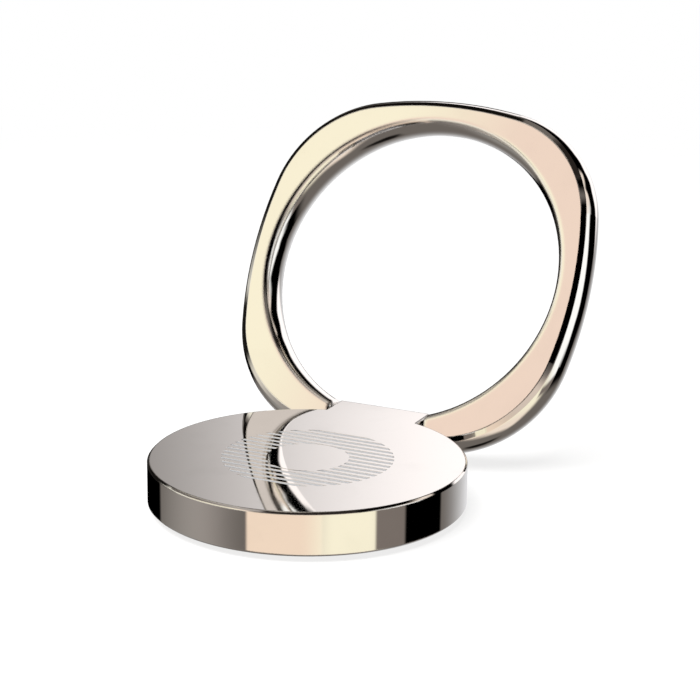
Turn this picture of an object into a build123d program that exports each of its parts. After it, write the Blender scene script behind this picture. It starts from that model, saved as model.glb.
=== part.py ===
from build123d import *
from math import cos, floor, hypot, radians, sin, sqrt
import os

# Phone ring holder, in millimetres, standing on its adhesive pad.
# The origin is the centre of the pad's underside, +Z is up and the hinge is at the +Y side, along X.
# The ring stands open in the rest pose. Shut, it lies round the turntable, flush with it.

# Turntable: the polished disc with the hinge tongue
disc_diameter = 30.0
disc_thickness = 4.15
disc_chamfer = 0.2
disc_side_wall = 1.6
disc_top_wall = 1.2
rim_height = 0.5
land_width = 2.5

# Stripes etched in the disc's top
stripe_outer_diameter = 16.2
stripe_inner_diameter = 7.8
stripe_pitch = 0.935
stripe_width = 0.42
stripe_depth = 0.06

# Hinge
hinge_inset = 0.37
opening_angle = 120.0
tongue_width = 9.9
tongue_edge = 0.15
relief_length = 5.5
pin_diameter = 1.4
pin_flat_depth = 0.15
socket_depth = 1.1
sleeve_wall = 0.36
sleeve_slit = 0.4
sleeve_recess = 0.3

# Ring
ring_gap = 0.2
ring_band = 3.34
ring_side_radius = 41.7
ring_corner_radius = 12.45
outer_wall_radius = 2.75
outer_bevel_width = 0.48
outer_bevel_height = 0.3
inner_wall_radius = 3.4
inner_bevel_width = 0.24
inner_bevel_height = 0.13
ring_end_chamfer = 0.2

# Base: pad, plate and the pivot that the turntable turns on
pad_thickness = 0.6
pad_margin = 0.4
plate_thickness = 0.8
plate_dish_margin = 1.8
plate_dish_slope = 0.9
screw_head_diameter = 5.6
screw_head_thickness = 0.5
screw_shoulder_diameter = 3.0
screw_thread_diameter = 2.2
screw_hole_cap = 0.75
screw_slot_width = 0.6
screw_slot_depth = 0.2
disc_spring_diameter = 5.2
disc_spring_thickness = 0.15
disc_spring_rise = 0.1
thrust_washer_thickness = 0.3
boss_diameter = 8.0
glide_ring_width = 1.5
glide_ring_thickness = 0.6
glide_groove_depth = 0.4

# Clearances
running_clearance = 0.04
seat_clearance = 0.02
end_clearance = 0.15
swing_clearance = 0.2
plate_side_clearance = 0.3
sliding_gap = 0.05
screw_floor_gap = 0.1

# Worked out: heights
disc_radius = disc_diameter / 2
disc_top = rim_height + disc_thickness
disc_ceiling = disc_top - disc_top_wall
plate_bottom = pad_thickness
plate_top = plate_bottom + plate_thickness
screw_head_bottom = plate_bottom + screw_floor_gap
screw_head_top = screw_head_bottom + screw_head_thickness
spring_edge_bottom = screw_head_top + disc_spring_rise
spring_edge_top = spring_edge_bottom + disc_spring_thickness
dish_bottom = spring_edge_top + sliding_gap
dish_top = dish_bottom + plate_thickness
boss_bottom = dish_top + sliding_gap + thrust_washer_thickness
screw_hole_top = disc_top - screw_hole_cap
glide_bottom = plate_top + sliding_gap
land_height = glide_bottom + glide_ring_thickness - glide_groove_depth

# Worked out: radii of the turned pieces
cup_radius = disc_radius - disc_side_wall
plate_radius = cup_radius - plate_side_clearance
pad_radius = plate_radius - pad_margin
pocket_radius = cup_radius - land_width
glide_middle_radius = cup_radius - land_width / 2
dish_radius = screw_head_diameter / 2 + plate_dish_margin
screw_shoulder_radius = screw_shoulder_diameter / 2
pivot_bore_radius = screw_shoulder_radius + running_clearance
screw_thread_radius = screw_thread_diameter / 2

# Worked out: hinge and ring
ring_thickness = disc_thickness
ring_hole_radius = disc_radius + ring_gap
ring_half_size = ring_hole_radius + ring_band
hinge_y = ring_hole_radius + ring_band / 2 - hinge_inset
hinge_z = rim_height + disc_thickness / 2
ring_mouth = tongue_width + 2 * end_clearance
pin_radius = pin_diameter / 2
pin_length = ring_mouth + 2 * (socket_depth - end_clearance)
sleeve_inner_radius = pin_radius + running_clearance
sleeve_outer_radius = sleeve_inner_radius + sleeve_wall
tongue_bore_radius = sleeve_outer_radius + seat_clearance
sleeve_length = tongue_width - 2 * sleeve_recess

# The hinge axis, and the planes that swing about it with the ring
opening = radians(opening_angle)
hinge_point = (0, hinge_y, hinge_z)
hinge_axis = Axis(hinge_point, (1, 0, 0))
ring_plane = Plane(hinge_point, x_dir=(1, 0, 0), z_dir=(0, sin(opening), cos(opening)))
pin_plane = Plane(hinge_point, x_dir=(0, cos(opening), -sin(opening)), z_dir=(1, 0, 0))
ring_centre = ring_plane.from_local_coords((0, -hinge_y, 0))
ring_axis = Axis(ring_centre, ring_plane.z_dir)
section_plane = Plane(ring_centre, x_dir=(1, 0, 0), z_dir=-ring_plane.y_dir)
tongue_plane = Plane(hinge_point, x_dir=(0, 1, 0), z_dir=(1, 0, 0))


def side_section(tip, outward, wall_radius, bevel_width, bevel_height):
    """Section of one side of the ring: lower face's edge, the wall's start, tip and end, upper face's edge."""
    half = ring_thickness / 2
    wall_half = half - bevel_height
    wall_edge = tip - outward * (wall_radius - sqrt(wall_radius**2 - wall_half**2))
    face_edge = wall_edge - outward * bevel_width
    return [(face_edge, -half), (wall_edge, -wall_half), (tip, 0), (wall_edge, wall_half), (face_edge, half)]


def swing_radius(x):
    """Distance from the hinge axis to the furthest point of the ring's inner side, at x along the axis."""
    points = [inner_side[0]]
    for step in range(swing_steps + 1):
        height = inner_side[3][1] * step / swing_steps
        bulge = inner_wall_radius - sqrt(inner_wall_radius**2 - height**2)
        points.append((ring_hole_radius + bulge, height))
    return max(hypot(hinge_y - sqrt(radius**2 - x**2), height) for radius, height in points)


def relief_point(share):
    """Point in plan just clear of that side, at a share of the way along the relief beside the tongue."""
    x = tongue_width / 2 + share * relief_length
    return (x, hinge_y - swing_radius(x) - swing_clearance)


outer_side = side_section(ring_half_size, 1, outer_wall_radius, outer_bevel_width, outer_bevel_height)
inner_side = side_section(ring_hole_radius, -1, inner_wall_radius, inner_bevel_width, inner_bevel_height)
side_inset = ring_half_size - outer_side[0][0]
swing_steps = 12

# Adhesive pad: a plain round of foam tape
with BuildPart() as adhesive_pad:
    with BuildSketch(Plane.XY):
        Circle(pad_radius)
    extrude(amount=pad_thickness)

# Base plate: stamped sheet, its centre raised to clear the screw's head
with BuildPart() as base_plate:
    with BuildSketch(Plane.XZ):
        with BuildLine():
            Polyline(
                (pivot_bore_radius, dish_bottom),
                (dish_radius, dish_bottom),
                (dish_radius + plate_dish_slope, plate_bottom),
                (plate_radius, plate_bottom),
                (plate_radius, plate_top),
                (dish_radius + plate_dish_slope + plate_thickness / 2, plate_top),
                (dish_radius + plate_thickness / 2, dish_top),
                (pivot_bore_radius, dish_top),
                close=True,
            )
        make_face()
    revolve(axis=Axis.Z)

# Pivot screw: slotted head, a shoulder that the plate turns on, and a thread held in the turntable's boss
with BuildPart() as pivot_screw:
    with BuildSketch(Plane.XY.offset(screw_head_bottom)):
        Circle(screw_head_diameter / 2)
    extrude(amount=screw_head_thickness)
    with BuildSketch(Plane.XY.offset(screw_head_top)):
        Circle(screw_shoulder_radius)
    extrude(amount=boss_bottom - screw_head_top)
    with BuildSketch(Plane.XY.offset(boss_bottom)):
        Circle(screw_thread_radius)
    extrude(amount=screw_hole_top - sliding_gap - boss_bottom)
    with BuildSketch(Plane.XY.offset(screw_head_bottom)):
        Rectangle(screw_head_diameter, screw_slot_width)
    extrude(amount=screw_slot_depth, mode=Mode.SUBTRACT)

# Disc spring: a cupped washer between the screw's head and the plate
with BuildPart() as disc_spring:
    with BuildSketch(Plane.XZ):
        with BuildLine():
            Polyline(
                (pivot_bore_radius, screw_head_top),
                (disc_spring_diameter / 2, spring_edge_bottom),
                (disc_spring_diameter / 2, spring_edge_top),
                (pivot_bore_radius, screw_head_top + disc_spring_thickness),
                close=True,
            )
        make_face()
    revolve(axis=Axis.Z)

# Thrust washer: between the plate's raised centre and the turntable's boss
with BuildPart() as thrust_washer:
    with BuildSketch(Plane.XY.offset(dish_top + sliding_gap)):
        Circle(boss_diameter / 2)
        Circle(pivot_bore_radius, mode=Mode.SUBTRACT)
    extrude(amount=thrust_washer_thickness)

# Glide ring: seated in the turntable's land, sliding on the plate
with BuildPart() as glide_ring:
    with BuildSketch(Plane.XY.offset(glide_bottom)):
        Circle(glide_middle_radius + glide_ring_width / 2)
        Circle(glide_middle_radius - glide_ring_width / 2, mode=Mode.SUBTRACT)
    extrude(amount=glide_ring_thickness)

# Tongue: the hinge lug that joins the turntable, its nose bulged like the ring's outside
with BuildPart() as tongue:
    with BuildSketch(tongue_plane):
        with BuildLine():
            nose = [(along - hinge_y, height) for along, height in outer_side]
            ThreePointArc(*nose[1:4])
            Polyline(nose[3], nose[4], (-hinge_y, nose[4][1]), (-hinge_y, nose[0][1]), nose[0], nose[1])
        make_face()
    extrude(amount=tongue_width / 2, both=True)
    chamfer(tongue.faces().filter_by(Axis.X).edges(), tongue_edge)

# Turntable: one casting, the disc and its tongue, hollow below for the base
with BuildPart() as turntable:
    with BuildSketch(Plane.XY.offset(rim_height)):
        Circle(disc_radius)
    extrude(amount=disc_thickness)
    chamfer(turntable.edges().filter_by(GeomType.CIRCLE), disc_chamfer)
    add(tongue.part)
    # Hollow in the wall beside the tongue, where the ring's inner side swings past
    relief_start, relief_middle, relief_end = (relief_point(share) for share in (0, 0.5, 1))
    with BuildSketch(Plane.XY.offset(hinge_z)):
        with BuildLine():
            ThreePointArc(relief_start, relief_middle, relief_end)
            Polyline(relief_end, (relief_end[0], hinge_y), (relief_start[0], hinge_y), relief_start)
        make_face()
        mirror(about=Plane.YZ)
    revolve(axis=hinge_axis, mode=Mode.SUBTRACT)
    # Bore for the friction sleeve and pin
    with BuildSketch(tongue_plane):
        Circle(tongue_bore_radius)
    extrude(amount=tongue_width / 2, both=True, mode=Mode.SUBTRACT)
    # Cup under the disc: rim, land with its groove, pocket, boss and screw hole
    with BuildSketch(Plane.XZ):
        with BuildLine():
            groove_outer = glide_middle_radius + glide_ring_width / 2 + seat_clearance
            groove_inner = glide_middle_radius - glide_ring_width / 2 - seat_clearance
            groove_top = land_height + glide_groove_depth
            Polyline(
                (0, rim_height),
                (cup_radius, rim_height),
                (cup_radius, land_height),
                (groove_outer, land_height),
                (groove_outer, groove_top),
                (groove_inner, groove_top),
                (groove_inner, land_height),
                (pocket_radius, land_height),
                (pocket_radius, disc_ceiling),
                (boss_diameter / 2, disc_ceiling),
                (boss_diameter / 2, boss_bottom),
                (screw_thread_radius + seat_clearance, boss_bottom),
                (screw_thread_radius + seat_clearance, screw_hole_top),
                (0, screw_hole_top),
                close=True,
            )
        make_face()
    revolve(axis=Axis.Z, mode=Mode.SUBTRACT)
    # Stripes: straight etched lines, kept to a ring round the centre
    stripe_reach = floor(stripe_outer_diameter / 2 / stripe_pitch)
    with BuildSketch(Plane.XY.offset(disc_top)):
        for step in range(-stripe_reach, stripe_reach + 1):
            with Locations((0, step * stripe_pitch)):
                Rectangle(stripe_outer_diameter, stripe_width)
        Circle(stripe_outer_diameter / 2, mode=Mode.INTERSECT)
        Circle(stripe_inner_diameter / 2, mode=Mode.SUBTRACT)
    extrude(amount=-stripe_depth, mode=Mode.SUBTRACT)

# Friction sleeve: a slit spring tube that sits in the tongue and grips the pin
with BuildPart() as friction_sleeve:
    with BuildSketch(tongue_plane):
        Circle(sleeve_outer_radius)
        Circle(sleeve_inner_radius, mode=Mode.SUBTRACT)
        with Locations((-sleeve_outer_radius, 0)):
            Rectangle(2 * sleeve_wall + sleeve_slit, sleeve_slit, mode=Mode.SUBTRACT)
    extrude(amount=sleeve_length / 2, both=True)

# Hinge pin: round in the tongue, flattened at both ends so that it turns with the ring
with BuildPart() as hinge_pin:
    with BuildSketch(pin_plane):
        Circle(pin_radius)
    extrude(amount=pin_length / 2, both=True)
    for side in (-1, 1):
        with BuildSketch(pin_plane.offset(side * ring_mouth / 2)):
            with Locations((pin_radius, 0)):
                Rectangle(2 * pin_flat_depth, pin_diameter)
        extrude(amount=side * socket_depth, mode=Mode.SUBTRACT)

# Ring: a flat core with bulged sides, outside along four curves and inside round the hole
with BuildPart() as ring:
    with BuildSketch(ring_plane) as core:
        side_shift = ring_side_radius - ring_half_size
        with Locations((0, -hinge_y)):
            Rectangle(2 * outer_side[0][0], 2 * outer_side[0][0])
        for across, along in ((1, 0), (0, 1), (-1, 0), (0, -1)):
            with Locations((across * side_shift, along * side_shift - hinge_y)):
                Circle(ring_side_radius - side_inset, mode=Mode.INTERSECT)
        fillet(core.vertices(), ring_corner_radius - side_inset)
    rim_path = core.sketch.wire()
    extrude(amount=ring_thickness / 2, both=True)
    with BuildSketch(section_plane):
        with BuildLine():
            ThreePointArc(*outer_side[1:4])
            Polyline(outer_side[3], outer_side[4], outer_side[0], outer_side[1])
        make_face()
    sweep(path=rim_path)
    # Hole, its wall bulged inwards
    with BuildSketch(ring_plane):
        with Locations((0, -hinge_y)):
            Circle(inner_side[0][0])
    extrude(amount=ring_thickness, both=True, mode=Mode.SUBTRACT)
    with BuildSketch(section_plane):
        with BuildLine():
            ThreePointArc(*inner_side[1:4])
            Polyline(inner_side[3], inner_side[4], inner_side[0], inner_side[1])
        make_face()
    revolve(axis=ring_axis)
    # Mouth that the tongue fills, its end faces chamfered
    with BuildSketch(ring_plane):
        Rectangle(ring_mouth, 4 * ring_band)
    extrude(amount=ring_thickness, both=True, mode=Mode.SUBTRACT)
    chamfer(ring.faces().filter_by(Axis.X).edges(), ring_end_chamfer)
    # Sockets for the pin's flattened ends
    with BuildSketch(pin_plane):
        Circle(pin_radius + seat_clearance)
        with Locations((pin_radius + seat_clearance, 0)):
            Rectangle(2 * pin_flat_depth, 2 * pin_diameter, mode=Mode.SUBTRACT)
    extrude(amount=ring_mouth / 2 + socket_depth, both=True, mode=Mode.SUBTRACT)

pieces = {
    "adhesive_pad": adhesive_pad,
    "base_plate": base_plate,
    "pivot_screw": pivot_screw,
    "disc_spring": disc_spring,
    "thrust_washer": thrust_washer,
    "glide_ring": glide_ring,
    "turntable": turntable,
    "friction_sleeve": friction_sleeve,
    "hinge_pin": hinge_pin,
    "ring": ring,
}
os.makedirs("parts", exist_ok=True)
for name, piece in pieces.items():
    piece.part.label = name
    export_step(piece.part, f"parts/{name}.step")
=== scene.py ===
"""Looks of a phone ring holder, laid out as a Blender add-on and run as a script.

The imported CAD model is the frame. Its metal, plastic and tape get their finishes here, the satin stripes
and the foam tape are made as pieces of their own, and a studio with a camera stands round them.
"""

from math import cos, pi, radians, sin

import bmesh
import bpy
from bpy.props import FloatProperty, FloatVectorProperty, IntProperty, PointerProperty
from mathutils import Matrix, Vector


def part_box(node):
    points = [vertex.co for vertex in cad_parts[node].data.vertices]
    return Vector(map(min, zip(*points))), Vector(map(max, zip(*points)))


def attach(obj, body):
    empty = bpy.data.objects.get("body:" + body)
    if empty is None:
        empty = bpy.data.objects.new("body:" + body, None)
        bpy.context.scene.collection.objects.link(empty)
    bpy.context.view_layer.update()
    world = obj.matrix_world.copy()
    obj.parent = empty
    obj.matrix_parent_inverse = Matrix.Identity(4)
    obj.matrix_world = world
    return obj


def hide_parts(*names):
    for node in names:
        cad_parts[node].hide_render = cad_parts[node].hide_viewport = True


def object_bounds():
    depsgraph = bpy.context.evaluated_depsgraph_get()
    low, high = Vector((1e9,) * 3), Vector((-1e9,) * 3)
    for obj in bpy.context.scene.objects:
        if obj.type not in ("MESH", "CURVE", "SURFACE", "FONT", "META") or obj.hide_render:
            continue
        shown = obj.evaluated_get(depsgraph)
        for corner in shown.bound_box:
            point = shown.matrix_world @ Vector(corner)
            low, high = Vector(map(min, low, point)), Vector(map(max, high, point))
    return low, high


bl_info = {
    "name": "Phone ring holder",
    "version": (1, 0, 0),
    "blender": (4, 5, 0),
    "location": "3D View > Sidebar > Ring holder",
    "description": "Finishes, stripes, foam tape and studio for a phone ring holder",
    "category": "Object",
}

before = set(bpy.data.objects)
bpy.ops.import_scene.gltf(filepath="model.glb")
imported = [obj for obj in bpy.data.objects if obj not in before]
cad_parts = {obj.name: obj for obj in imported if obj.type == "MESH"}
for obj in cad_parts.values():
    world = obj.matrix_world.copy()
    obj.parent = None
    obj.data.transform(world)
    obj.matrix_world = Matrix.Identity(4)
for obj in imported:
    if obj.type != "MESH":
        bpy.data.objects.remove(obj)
cad_low, cad_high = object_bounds()
pad_low, pad_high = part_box("adhesive_pad")
disc_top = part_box("turntable")[1].z
millimetre = 0.001

# At rest the ring leans back by this angle from level. Its hole shares the disc's axis when it is
# folded down, so its middle is as far from the hinge as that axis is.
ring_lean = radians(60)
hinge = sum(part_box("hinge_pin"), Vector()) / 2
ring_centre = hinge + hinge.y * Vector((0.0, cos(ring_lean), sin(ring_lean)))


class Wire:
    """A socket in a node tree. Arithmetic on it adds Math nodes, and node() adds any other node."""

    def __init__(self, tree, socket=None):
        self.tree = tree
        self.socket = socket

    def node(self, kind, settings=None, inputs=None, output=0):
        """Add a node, set it up, give its sockets values or links, and return one of its outputs."""
        made = self.tree.nodes.new(kind)
        for name, value in (settings or {}).items():
            setattr(made, name, value)
        for name, value in (inputs or {}).items():
            if isinstance(value, Wire):
                self.tree.links.new(value.socket, made.inputs[name])
            else:
                made.inputs[name].default_value = value
        return Wire(self.tree, made.outputs[output]) if made.outputs else None

    def math(self, operation, *values):
        """A Math node on one to three values."""
        return self.node("ShaderNodeMath", {"operation": operation}, dict(enumerate(values)))

    def blend(self, share, first, second):
        """A colour or a direction between two others."""
        settings = {"data_type": "RGBA", "clamp_factor": True}
        return self.node("ShaderNodeMix", settings, {0: share, 6: first, 7: second}, output=2)

    def fade(self, value, start, end, low=0.0, high=1.0):
        """A smooth step of value: low before start, high after end."""
        settings = {"interpolation_type": "SMOOTHSTEP"}
        places = {"From Min": start, "From Max": end, "To Min": low, "To Max": high}
        return self.node("ShaderNodeMapRange", settings, {"Value": value, **places})

    def axes(self):
        """The three parts of a vector."""
        made = self.tree.nodes.new("ShaderNodeSeparateXYZ")
        self.tree.links.new(self.socket, made.inputs[0])
        return [Wire(self.tree, out) for out in made.outputs]

    def __add__(self, other):
        return self.math("ADD", self, other)

    def __radd__(self, other):
        return self.math("ADD", other, self)

    def __sub__(self, other):
        return self.math("SUBTRACT", self, other)

    def __rsub__(self, other):
        return self.math("SUBTRACT", other, self)

    def __mul__(self, other):
        return self.math("MULTIPLY", self, other)

    def __rmul__(self, other):
        return self.math("MULTIPLY", other, self)

    def __truediv__(self, other):
        return self.math("DIVIDE", self, other)

    def __rtruediv__(self, other):
        return self.math("DIVIDE", other, self)

    def __abs__(self):
        return self.math("ABSOLUTE", self)


class MetalSettings(bpy.types.PropertyGroup):
    """Finish of the polished ring and turntable."""

    tint: FloatVectorProperty(
        name="Metal tint",
        description="Colour of the polished plating",
        subtype="COLOR",
        size=3,
        min=0.0,
        max=1.0,
        default=(0.95, 0.935, 0.915),
    )
    roughness: FloatProperty(
        name="Polish roughness",
        description="Roughness where the plating is clean",
        subtype="FACTOR",
        min=0.0,
        max=1.0,
        default=0.03,
    )
    smudge: FloatProperty(
        name="Smudge roughness",
        description="Roughness added where fingers have touched",
        subtype="FACTOR",
        min=0.0,
        max=1.0,
        default=0.03,
    )
    ring_outer_edge: FloatProperty(
        name="Ring outer edge",
        description="Radius to which polishing has worn the ring's outer edges",
        unit="LENGTH",
        default=0.15 * millimetre,
    )
    ring_inner_edge: FloatProperty(
        name="Ring inner edge",
        description="Radius to which polishing has worn the edges of the finger hole",
        unit="LENGTH",
        default=0.6 * millimetre,
    )
    disc_edge: FloatProperty(
        name="Disc edge",
        description="Radius to which polishing has worn the turntable's rim",
        unit="LENGTH",
        default=0.15 * millimetre,
    )
    groove_edge: FloatProperty(
        name="Groove edge",
        description="Radius to which polishing has worn the edges of the stripes' grooves",
        unit="LENGTH",
        default=0.05 * millimetre,
    )


class StripeSettings(bpy.types.PropertyGroup):
    """Sizes and finish of the satin stripes in the turntable's top."""

    outer_diameter: FloatProperty(
        name="Outer diameter",
        description="Diameter of the round field that the stripes fill",
        unit="LENGTH",
        default=16.2 * millimetre,
    )
    inner_diameter: FloatProperty(
        name="Inner diameter",
        description="Diameter of the plain round in the middle",
        unit="LENGTH",
        default=7.8 * millimetre,
    )
    pitch: FloatProperty(
        name="Pitch",
        description="Distance from one stripe to the next",
        unit="LENGTH",
        default=0.935 * millimetre,
    )
    width: FloatProperty(
        name="Width",
        description="Width of a stripe",
        unit="LENGTH",
        default=0.42 * millimetre,
    )
    depth: FloatProperty(
        name="Groove depth",
        description="Depth of the groove that holds a stripe",
        unit="LENGTH",
        default=0.06 * millimetre,
    )
    count: IntProperty(
        name="Count",
        description="Number of stripes",
        default=17,
    )
    tint: FloatVectorProperty(
        name="Satin tint",
        description="Colour of the etched metal",
        subtype="COLOR",
        size=3,
        min=0.0,
        max=1.0,
        default=(0.455, 0.467, 0.488),
    )


class TapeSettings(bpy.types.PropertyGroup):
    """Foam tape under the base."""

    colour: FloatVectorProperty(
        name="Foam colour",
        description="Colour of the foam",
        subtype="COLOR",
        size=3,
        min=0.0,
        max=1.0,
        default=(0.035, 0.035, 0.037),
    )
    edge_round: FloatProperty(
        name="Edge round",
        description="Radius of the tape's cut edges",
        unit="LENGTH",
        default=0.12 * millimetre,
    )


class StudioSettings(bpy.types.PropertyGroup):
    """Camera and floor."""

    azimuth: FloatProperty(
        name="Azimuth",
        description="Camera's place round the disc, from the front towards the right",
        subtype="ANGLE",
        default=radians(25.261),
    )
    elevation: FloatProperty(
        name="Elevation",
        description="Camera's height over the disc's top, as an angle",
        subtype="ANGLE",
        default=radians(16.104),
    )
    roll: FloatProperty(
        name="Roll",
        description="Turn of the camera about its line of sight",
        subtype="ANGLE",
        default=radians(0.666),
    )
    distance: FloatProperty(
        name="Distance",
        description="Camera's distance from the disc's top",
        unit="LENGTH",
        default=204.688 * millimetre,
    )
    aside: FloatProperty(
        name="Aside",
        description="How far the line of sight passes to the right of the disc's centre",
        unit="LENGTH",
        default=3.98 * millimetre,
    )
    above: FloatProperty(
        name="Above",
        description="How far the line of sight passes above the disc's centre",
        unit="LENGTH",
        default=10.03 * millimetre,
    )
    lens: FloatProperty(
        name="Lens",
        description="Focal length on a sensor 36 mm wide, in millimetres",
        unit="CAMERA",
        default=112.307,
    )
    floor_colour: FloatVectorProperty(
        name="Floor colour",
        description="Colour of the floor",
        subtype="COLOR",
        size=3,
        min=0.0,
        max=1.0,
        default=(0.9, 0.9, 0.9),
    )


def new_material(name):
    """A material with an empty tree, and a wire to start from."""
    material = bpy.data.materials.new(name)
    material.use_nodes = True
    material.node_tree.nodes.clear()
    return material, Wire(material.node_tree)


def object_point(start):
    """Object coordinates in millimetres."""
    place = start.node("ShaderNodeTexCoord", output="Object")
    scaled = {"operation": "SCALE"}
    return start.node("ShaderNodeVectorMath", scaled, {0: place, "Scale": 1 / millimetre})


def noise(start, point, scale, detail=2.0):
    """Soft noise, scale times to the millimetre."""
    inputs = {"Vector": point, "Scale": scale, "Detail": detail}
    return start.node("ShaderNodeTexNoise", None, inputs)


def relief(start, height, strength, depth):
    """A normal that follows small ups and downs of the surface."""
    return start.node("ShaderNodeBump", None, {"Strength": strength, "Distance": depth, "Height": height})


def close(start, inputs):
    """Finish a material with one Principled shader."""
    shader = start.node("ShaderNodeBsdfPrincipled", None, inputs)
    start.node("ShaderNodeOutputMaterial", None, {"Surface": shader})


def colour4(colour, share=1.0):
    """A colour with alpha, lightened or darkened by a share."""
    return (*(part * share for part in colour), 1.0)


def polished_metal(name, settings, centre, reach, edges):
    """Mirror plating with faint finger marks and fine polishing grain.

    The edges are worn to one radius within reach of the centre and to another radius beyond it. The
    change from one to the other takes twice the blur, in millimetres.
    """
    blur = 0.3
    material, start = new_material(name)
    point = object_point(start)
    touched = start.fade(noise(start, point, scale=0.22, detail=4.0), 0.5, 0.75)
    grain = noise(start, point, scale=3.5)
    tint = start.blend(touched, colour4(settings.tint), colour4(settings.tint, 0.97))
    roughness = settings.roughness + settings.smudge * touched * grain
    places = {0: point, 1: centre / millimetre}
    away = start.node("ShaderNodeVectorMath", {"operation": "DISTANCE"}, places, output="Value")
    beyond = start.fade(away, reach / millimetre - blur, reach / millimetre + blur)
    worn = [start.node("ShaderNodeBevel", {"samples": 8}, {"Radius": radius}) for radius in edges]
    facing = start.blend(beyond, *worn)
    close(start, {"Base Color": tint, "Metallic": 1.0, "Roughness": roughness, "Normal": facing})
    return material


def satin_metal(settings):
    """Etched metal: the same plating, matt and finely pitted."""
    material, start = new_material("satin_etch")
    point = object_point(start)
    pits = noise(start, point, scale=14.0, detail=3.0)
    tint = start.blend(pits, colour4(settings.tint), colour4(settings.tint, 0.85))
    roughness = 0.32 + 0.2 * pits
    pitted = relief(start, pits, strength=0.15, depth=0.01 * millimetre)
    close(start, {"Base Color": tint, "Metallic": 0.3, "Roughness": roughness, "Normal": pitted})
    return material


def drawn_steel():
    """Bright steel with fine drawing lines along X."""
    material, start = new_material("drawn_steel")
    point = object_point(start)
    stretched = start.node("ShaderNodeMapping", None, {"Vector": point, "Scale": (0.3, 6.0, 6.0)})
    lines = noise(start, stretched, scale=2.0, detail=4.0)
    tint = start.blend(lines, (0.62, 0.61, 0.59, 1.0), (0.5, 0.49, 0.48, 1.0))
    scored = relief(start, lines, strength=0.2, depth=0.01 * millimetre)
    roughness = 0.22 + 0.2 * lines
    close(start, {"Base Color": tint, "Metallic": 1.0, "Roughness": roughness, "Normal": scored})
    return material


def moulded_nylon():
    """Natural nylon, slightly mottled, with the fine texture of its mould."""
    material, start = new_material("moulded_nylon")
    point = object_point(start)
    mottle = noise(start, point, scale=0.8, detail=3.0)
    texture = noise(start, point, scale=9.0)
    tint = start.blend(mottle, (0.8, 0.78, 0.71, 1.0), (0.72, 0.69, 0.61, 1.0))
    grained = relief(start, texture, strength=0.25, depth=0.02 * millimetre)
    close(start, {"Base Color": tint, "Roughness": 0.4 + 0.15 * texture, "Normal": grained})
    return material


def foam_tape(settings):
    """Closed-cell foam with a thin film of adhesive on its underside."""
    material, start = new_material("foam_tape")
    point = object_point(start)
    cells = start.node("ShaderNodeTexVoronoi", None, {"Vector": point, "Scale": 9.0}, output="Distance")
    shade = start.blend(cells, colour4(settings.colour), colour4(settings.colour, 1.9))
    height = point.axes()[2]
    film_thickness = 0.05
    film = 1 - start.fade(height, 0.0, film_thickness)
    bubbled = relief(start, cells, strength=0.4, depth=0.04 * millimetre)
    roughness = 0.88 - 0.4 * film
    close(start, {"Base Color": shade, "Roughness": roughness, "Normal": bubbled})
    return material


def finish_node(name, material):
    """Give a CAD node one material in all its slots."""
    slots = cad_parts[name].material_slots
    if not slots:
        raise RuntimeError(f"CAD node {name} has no material slot")
    for slot in slots:
        slot.material = material


def place_piece(name, mesh, body, material):
    """Link a finished mesh as a piece that rides on a body."""
    piece = bpy.data.objects.new(name, mesh)
    bpy.context.scene.collection.objects.link(piece)
    if not mesh.materials:
        mesh.materials.append(material)
    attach(piece, body)
    return piece


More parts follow.
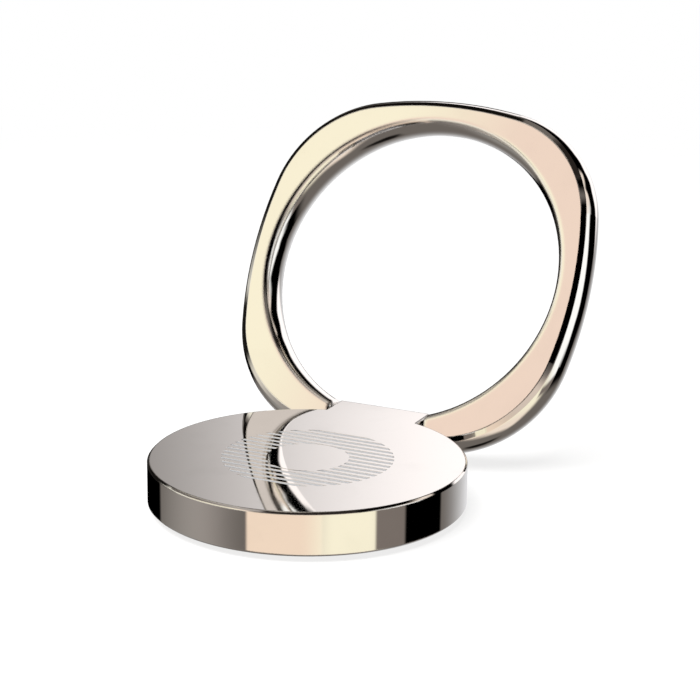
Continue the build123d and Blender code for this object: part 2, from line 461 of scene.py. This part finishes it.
def stripe_tree():
    """Geometry nodes for straight stripes kept to a round field with a plain middle, in millimetres."""
    tree = bpy.data.node_groups.new("satin_stripes", "GeometryNodeTree")
    tree.interface.new_socket(name="Stripes", in_out="OUTPUT", socket_type="NodeSocketGeometry")
    for name in ("Outer diameter", "Inner diameter", "Pitch", "Width", "Thickness", "Height"):
        tree.interface.new_socket(name=name, in_out="INPUT", socket_type="NodeSocketFloat")
    tree.interface.new_socket(name="Count", in_out="INPUT", socket_type="NodeSocketInt")
    tree.interface.new_socket(name="Material", in_out="INPUT", socket_type="NodeSocketMaterial")
    start = Wire(tree)
    entry = tree.nodes.new("NodeGroupInput")
    given = {out.name: Wire(tree, out) for out in entry.outputs if out.name}
    outer = given["Outer diameter"] / 2
    inner = given["Inner diameter"] / 2
    first_row = (1 - given["Count"]) * given["Pitch"] / 2
    begin = start.node("ShaderNodeCombineXYZ", None, {"Y": first_row, "Z": given["Height"]})
    step = start.node("ShaderNodeCombineXYZ", None, {"Y": given["Pitch"]})
    line = {"Count": given["Count"], "Start Location": begin, "Offset": step}
    rows = start.node("GeometryNodeMeshLine", {"mode": "OFFSET"}, line)
    size = {"X": given["Outer diameter"], "Y": given["Width"], "Z": given["Thickness"]}
    bar = start.node("GeometryNodeMeshCube", None, {"Size": start.node("ShaderNodeCombineXYZ", None, size)})
    placed = start.node("GeometryNodeInstanceOnPoints", None, {"Points": rows, "Instance": bar})
    bars = start.node("GeometryNodeRealizeInstances", None, {"Geometry": placed})
    level = start.node("ShaderNodeCombineXYZ", None, {"Z": given["Height"]})
    sides = 192
    rounds = []
    for radius in (outer, inner):
        turned = {"Vertices": sides, "Radius": radius, "Depth": 2 * given["Thickness"]}
        drum = start.node("GeometryNodeMeshCylinder", None, turned)
        rounds.append(start.node("GeometryNodeTransform", None, {"Geometry": drum, "Translation": level}))
    field = start.node(
        "GeometryNodeMeshBoolean",
        {"operation": "INTERSECT", "solver": "EXACT"},
        {"Mesh 2": bars},
    )
    tree.links.new(rounds[0].socket, field.socket.node.inputs["Mesh 2"])
    kept = start.node(
        "GeometryNodeMeshBoolean",
        {"operation": "DIFFERENCE", "solver": "EXACT"},
        {"Mesh 1": field, "Mesh 2": rounds[1]},
    )
    metres = {"Geometry": kept, "Scale": (millimetre, millimetre, millimetre)}
    scaled = start.node("GeometryNodeTransform", None, metres)
    whole = start.node("GeometryNodeRealizeInstances", None, {"Geometry": scaled})
    finish = {"Geometry": whole, "Material": given["Material"]}
    dressed = start.node("GeometryNodeSetMaterial", None, finish)
    start.node("NodeGroupOutput", None, {"Stripes": dressed})
    return tree


def mesh_from_tree(name, tree, values):
    """Run a geometry tree with its named inputs set, and keep the result as a plain mesh."""
    holder = bpy.data.objects.new(name, bpy.data.meshes.new(name))
    bpy.context.scene.collection.objects.link(holder)
    modifier = holder.modifiers.new(name, "NODES")
    modifier.node_group = tree
    for item in tree.interface.items_tree:
        if item.in_out == "INPUT":
            modifier[item.identifier] = values[item.name]
    evaluated = holder.evaluated_get(bpy.context.evaluated_depsgraph_get())
    mesh = bpy.data.meshes.new_from_object(evaluated)
    bpy.data.objects.remove(holder)
    mesh.name = name
    return mesh


class HOLDER_OT_plating(bpy.types.Operator):
    """Plate the turntable and the ring"""

    bl_idname = "holder.plating"
    bl_label = "Plate ring and turntable"

    def execute(self, context):
        settings = context.scene.holder_metal
        disc_centre = Vector((0.0, 0.0, disc_top))
        past_stripes = 0.75 * hinge.y
        edges = (settings.groove_edge, settings.disc_edge)
        disc = polished_metal("polished_disc", settings, disc_centre, past_stripes, edges)
        finish_node("turntable", disc)
        middle_of_band = hinge.y + 0.4 * millimetre
        edges = (settings.ring_inner_edge, settings.ring_outer_edge)
        ring = polished_metal("polished_ring", settings, ring_centre, middle_of_band, edges)
        finish_node("ring", ring)
        return {"FINISHED"}


class HOLDER_OT_hardware(bpy.types.Operator):
    """Finish the hinge and pivot hardware"""

    bl_idname = "holder.hardware"
    bl_label = "Finish hinge and pivot"

    def execute(self, context):
        steel = drawn_steel()
        for name in ("base_plate", "pivot_screw", "disc_spring", "hinge_pin", "friction_sleeve"):
            finish_node(name, steel)
        nylon = moulded_nylon()
        for name in ("thrust_washer", "glide_ring"):
            finish_node(name, nylon)
        return {"FINISHED"}


class HOLDER_OT_stripes(bpy.types.Operator):
    """Lay the satin stripes in the grooves of the turntable's top"""

    bl_idname = "holder.stripes"
    bl_label = "Lay satin stripes"

    def execute(self, context):
        settings = context.scene.holder_stripes
        room = 0.01 * millimetre
        thickness = settings.depth / 2
        satin = satin_metal(settings)
        values = {
            "Outer diameter": (settings.outer_diameter - room) / millimetre,
            "Inner diameter": (settings.inner_diameter + room) / millimetre,
            "Pitch": settings.pitch / millimetre,
            "Width": (settings.width - room) / millimetre,
            "Thickness": thickness / millimetre,
            "Height": (disc_top - settings.depth + thickness / 2) / millimetre,
            "Count": settings.count,
            "Material": satin,
        }
        mesh = mesh_from_tree("satin_stripes", stripe_tree(), values)
        if not mesh.polygons:
            raise RuntimeError("the stripes came out empty")
        place_piece("satin_stripes", mesh, "turntable", satin)
        return {"FINISHED"}


class HOLDER_OT_tape(bpy.types.Operator):
    """Make the round of foam tape under the base"""

    bl_idname = "holder.tape"
    bl_label = "Make foam tape"

    def execute(self, context):
        settings = context.scene.holder_tape
        radius = pad_high.x
        sides = 96
        edge = settings.edge_round
        waist = 0.04 * millimetre
        profile = [(radius - edge, pad_low.z)]
        for turn in (pi / 6, pi / 3):
            profile.append((radius - edge + edge * sin(turn), pad_low.z + edge - edge * cos(turn)))
        profile += [(radius, pad_low.z + edge), (radius - waist, (pad_low.z + pad_high.z) / 2)]
        profile += [(r, pad_low.z + pad_high.z - z) for r, z in reversed(profile[:-1])]
        mesh = bpy.data.meshes.new("foam_tape")
        build = bmesh.new()
        rows = []
        for r, z in profile:
            ring = [(r * cos(2 * pi * k / sides), r * sin(2 * pi * k / sides), z) for k in range(sides)]
            rows.append([build.verts.new(point) for point in ring])
        for low, high in zip(rows, rows[1:]):
            for k in range(sides):
                after = (k + 1) % sides
                build.faces.new((low[k], low[after], high[after], high[k]))
        build.faces.new(list(reversed(rows[0])))
        build.faces.new(rows[-1])
        build.to_mesh(mesh)
        build.free()
        mesh.shade_smooth()
        sharpest_smooth = radians(40)
        mesh.set_sharp_from_angle(angle=sharpest_smooth)
        tape = foam_tape(settings)
        piece = place_piece("foam_tape", mesh, "base", tape)
        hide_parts("adhesive_pad")
        return {"FINISHED"}


def srgb(red, green, blue):
    """A colour as a screen shows it, where 255 is full, made linear."""
    shares = (part / 255 for part in (red, green, blue))
    return tuple(part / 12.92 if part <= 0.04045 else ((part + 0.055) / 1.055) ** 2.4 for part in shares)


def studio_panels():
    """Cards and flags round the object, from the first drawn to the last.

    Each has its azimuth, its elevation, its width and height, how soft its sides are, how soft its top and
    bottom are, all in degrees, and its colour.
    """
    black = (0.0, 0.0, 0.0)
    white = (1.05, 1.05, 1.03)
    return {
        "left wall": (-59, -25, 46, 56, 45, 32, srgb(153, 146, 141)),
        "low left wall": (-80, -37, 44, 27, 32, 20, srgb(146, 143, 138)),
        "rear wall": (-169, -20, 55, 50, 60, 60, srgb(226, 226, 228)),
        "under flag": (150, -78, 80, 16, 30, 8, srgb(20, 18, 16)),
        "lower card": (44, -39, 72, 38, 20, 14, srgb(242, 226, 210)),
        "white card": (99, 8, 42, 45, 23, 10, white),
        "high flag": (110, 53, 76, 24, 6, 8, black),
        "upper card": (122, 34, 46, 18, 10, 8, srgb(240, 226, 213)),
        "peach card": (10, -20, 54, 36, 3, 34, srgb(245, 222, 200)),
        "cream card": (58, -20, 50, 33, 26, 20, srgb(253, 246, 220)),
        "right step": (90, -20, 28, 9, 3, 6, srgb(122, 113, 107)),
        "low strip": (118.5, -18, 37, 19, 3, 12, black),
        "middle strip": (127, -9, 36, 14, 6, 6, black),
        "top frame": (-179, 38, 80, 20, 4, 6, black),
        "high frame": (158, 50, 40, 24, 6, 6, black),
        "rear glow": (177.6, 10.5, 59.3, 31, 12.6, 8, srgb(270, 264, 263)),
        "upper strip": (131, 6, 36, 26, 5, 6, black),
        "top strip": (141, 24, 32, 21, 4, 4, black),
        "corner strip": (158, 31, 14, 18, 5, 5, black),
        "left strip": (-127, -19, 48, 12, 4, 4, black),
        "left shelf": (-138, 0, 49, 32, 3, 4, srgb(45, 43, 40)),
        "dark screen": (-112, 35, 29, 61, 4, 19, srgb(16, 14, 12)),
        "high screen": (-134, 58, 34, 26, 4, 6, srgb(16, 14, 12)),
        "low screen": (-96, 5, 41, 37, 15, 13, srgb(24, 22, 20)),
        "high left card": (-99, 51, 13, 30, 2, 2, srgb(245, 237, 220)),
        "left card": (-78, 18, 37, 22, 11, 2, srgb(246, 242, 230)),
        "low left card": (-45, 3, 64, 25, 11, 19, srgb(255, 249, 232)),
        "left ceiling": (-53, 61, 87, 24, 20, 22, srgb(170, 163, 158)),
        "black ceiling": (61, 71, 180, 15, 16, 3, srgb(40, 35, 32)),
        "black flag": (29, 36, 88, 32, 4, 6, black),
        "front card": (35, 4, 50, 18, 10, 10, srgb(216, 200, 187)),
        "pink card": (-70, 63, 20, 9, 3, 3, srgb(214, 206, 200)),
        "peach window": (-27.5, 34, 14, 44, 6, 10, srgb(244, 220, 203)),
        "cream window": (-55, 31, 26, 26, 8, 8, srgb(253, 243, 218)),
        "white window": (-40.5, 38, 18, 30, 5, 12, srgb(255, 247, 220)),
        "zenith card": (-30, 83, 180, 16, 20, 8, srgb(220, 210, 198)),
    }


def make_world():
    """White for the camera, and the studio's cards and flags for everything that reflects or is lit."""
    world = bpy.data.worlds.new("studio")
    bpy.context.scene.world = world
    world.use_nodes = True
    world.node_tree.nodes.clear()
    start = Wire(world.node_tree)
    right, forward, upward = start.node("ShaderNodeTexCoord", output="Generated").axes()
    azimuth = start.math("ARCTAN2", right, 0 - forward) * (180 / pi)
    elevation = start.math("ARCSINE", upward) * (180 / pi)
    room_grey = srgb(108, 102, 97)
    colour = colour4(room_grey)
    for across, height, wide, tall, side_edge, top_edge, shade in studio_panels().values():
        sideways = abs(start.math("WRAP", azimuth - across, 180, -180))
        updown = abs(elevation - height)
        beside = start.fade(sideways, (wide - side_edge) / 2, (wide + side_edge) / 2, 1, 0)
        within = start.fade(updown, (tall - top_edge) / 2, (tall + top_edge) / 2, 1, 0)
        colour = start.blend(beside * within, colour, colour4(shade))
    seen = start.node("ShaderNodeLightPath", output="Is Camera Ray")
    shown = start.blend(seen, colour, (1.0, 1.0, 1.0, 1.0))
    sky = start.node("ShaderNodeBackground", None, {"Color": shown, "Strength": 1.0})
    start.node("ShaderNodeOutputWorld", None, {"Surface": sky})


def pale_floor(settings):
    """Pale floor that is white to the camera and still takes a faint shadow near the object."""
    material, start = new_material("pale_floor")
    matt = start.node("ShaderNodeBsdfDiffuse", None, {"Color": colour4(settings.floor_colour)})
    glow = start.node("ShaderNodeEmission", None, {"Color": (1.0, 1.0, 1.0, 1.0), "Strength": 1.0})
    seen = start.node("ShaderNodeLightPath", output="Is Camera Ray")
    length = {"operation": "LENGTH"}
    away = start.node("ShaderNodeVectorMath", length, {0: object_point(start)}, output="Value")
    shadow_near, shadow_gone = 60, 200
    whiteness = start.fade(away, shadow_near, shadow_gone, low=0.8)
    mixed = start.node("ShaderNodeMixShader", None, {0: whiteness * seen, 1: matt, 2: glow})
    start.node("ShaderNodeOutputMaterial", None, {"Surface": mixed})
    return material


class HOLDER_OT_studio(bpy.types.Operator):
    """Set up the camera, floor, lamp and surroundings"""

    bl_idname = "holder.studio"
    bl_label = "Set up studio"

    def execute(self, context):
        settings = context.scene.holder_studio
        scene = context.scene
        scene.view_settings.view_transform = "Standard"
        self.add_camera(scene, settings)
        self.add_floor(scene, settings)
        self.add_lamp(scene)
        make_world()
        return {"FINISHED"}

    def add_camera(self, scene, settings):
        """Camera at the photograph's angle."""
        turn, rise, roll = settings.azimuth, settings.elevation, settings.roll
        back = Vector((sin(turn) * cos(rise), -cos(turn) * cos(rise), sin(rise)))
        level = Vector((cos(turn), sin(turn), 0.0))
        upright = back.cross(level)
        right = level * cos(roll) + upright * sin(roll)
        up = upright * cos(roll) - level * sin(roll)
        place = Vector((0.0, 0.0, disc_top)) + back * settings.distance
        place += right * settings.aside + up * settings.above
        lens = bpy.data.cameras.new("camera")
        lens.sensor_width = 36.0
        lens.lens = settings.lens
        lens.clip_start = 0.01
        camera = bpy.data.objects.new("camera", lens)
        camera.matrix_world = Matrix.Translation(place) @ Matrix((right, up, back)).transposed().to_4x4()
        scene.collection.objects.link(camera)
        scene.camera = camera

    def add_floor(self, scene, settings):
        """Round floor just under the tape, left out of the metal's reflections."""
        reach = 1.0
        gap = 0.02 * millimetre
        mesh = bpy.data.meshes.new("floor")
        build = bmesh.new()
        bmesh.ops.create_circle(build, cap_ends=True, segments=64, radius=reach)
        build.to_mesh(mesh)
        build.free()
        mesh.transform(Matrix.Translation((0.0, 0.0, cad_low.z - gap)))
        mesh.materials.append(pale_floor(settings))
        floor = bpy.data.objects.new("floor", mesh)
        floor.visible_glossy = False
        scene.collection.objects.link(floor)

    def add_lamp(self, scene):
        """Large soft lamp overhead."""
        lamp = bpy.data.lights.new("overhead", "AREA")
        lamp.shape = "DISK"
        lamp.size = 0.5
        lamp.energy = 6
        hung = bpy.data.objects.new("overhead", lamp)
        hung.location = (-0.1, -0.15, 0.5)
        hung.rotation_euler = (-hung.location).to_track_quat("-Z", "Y").to_euler()
        hung.visible_glossy = False
        scene.collection.objects.link(hung)


class HOLDER_PT_panel(bpy.types.Panel):
    """Sizes, finishes and steps of the phone ring holder"""

    bl_idname = "HOLDER_PT_panel"
    bl_label = "Phone ring holder"
    bl_space_type = "VIEW_3D"
    bl_region_type = "UI"
    bl_category = "Ring holder"

    def draw(self, context):
        scene = context.scene
        for group in (scene.holder_metal, scene.holder_stripes, scene.holder_tape, scene.holder_studio):
            box = self.layout.box()
            for name in group.__annotations__:
                box.prop(group, name)
        for step in steps:
            self.layout.operator(step.bl_idname)


steps = (HOLDER_OT_plating, HOLDER_OT_hardware, HOLDER_OT_stripes, HOLDER_OT_tape, HOLDER_OT_studio)
groups = {
    "holder_metal": MetalSettings,
    "holder_stripes": StripeSettings,
    "holder_tape": TapeSettings,
    "holder_studio": StudioSettings,
}


def register():
    """Register the classes and put the settings on the scene."""
    for name, group in groups.items():
        bpy.utils.register_class(group)
        setattr(bpy.types.Scene, name, PointerProperty(type=group))
    for step in steps:
        bpy.utils.register_class(step)
    bpy.utils.register_class(HOLDER_PT_panel)


def unregister():
    """Take the classes and settings away again."""
    bpy.utils.unregister_class(HOLDER_PT_panel)
    for step in reversed(steps):
        bpy.utils.unregister_class(step)
    for name, group in groups.items():
        delattr(bpy.types.Scene, name)
        bpy.utils.unregister_class(group)


def main():
    """Run every step in order."""
    register()
    bpy.ops.holder.plating()
    bpy.ops.holder.hardware()
    bpy.ops.holder.stripes()
    bpy.ops.holder.tape()
    bpy.ops.holder.studio()


if __name__ == "__main__":
    main()
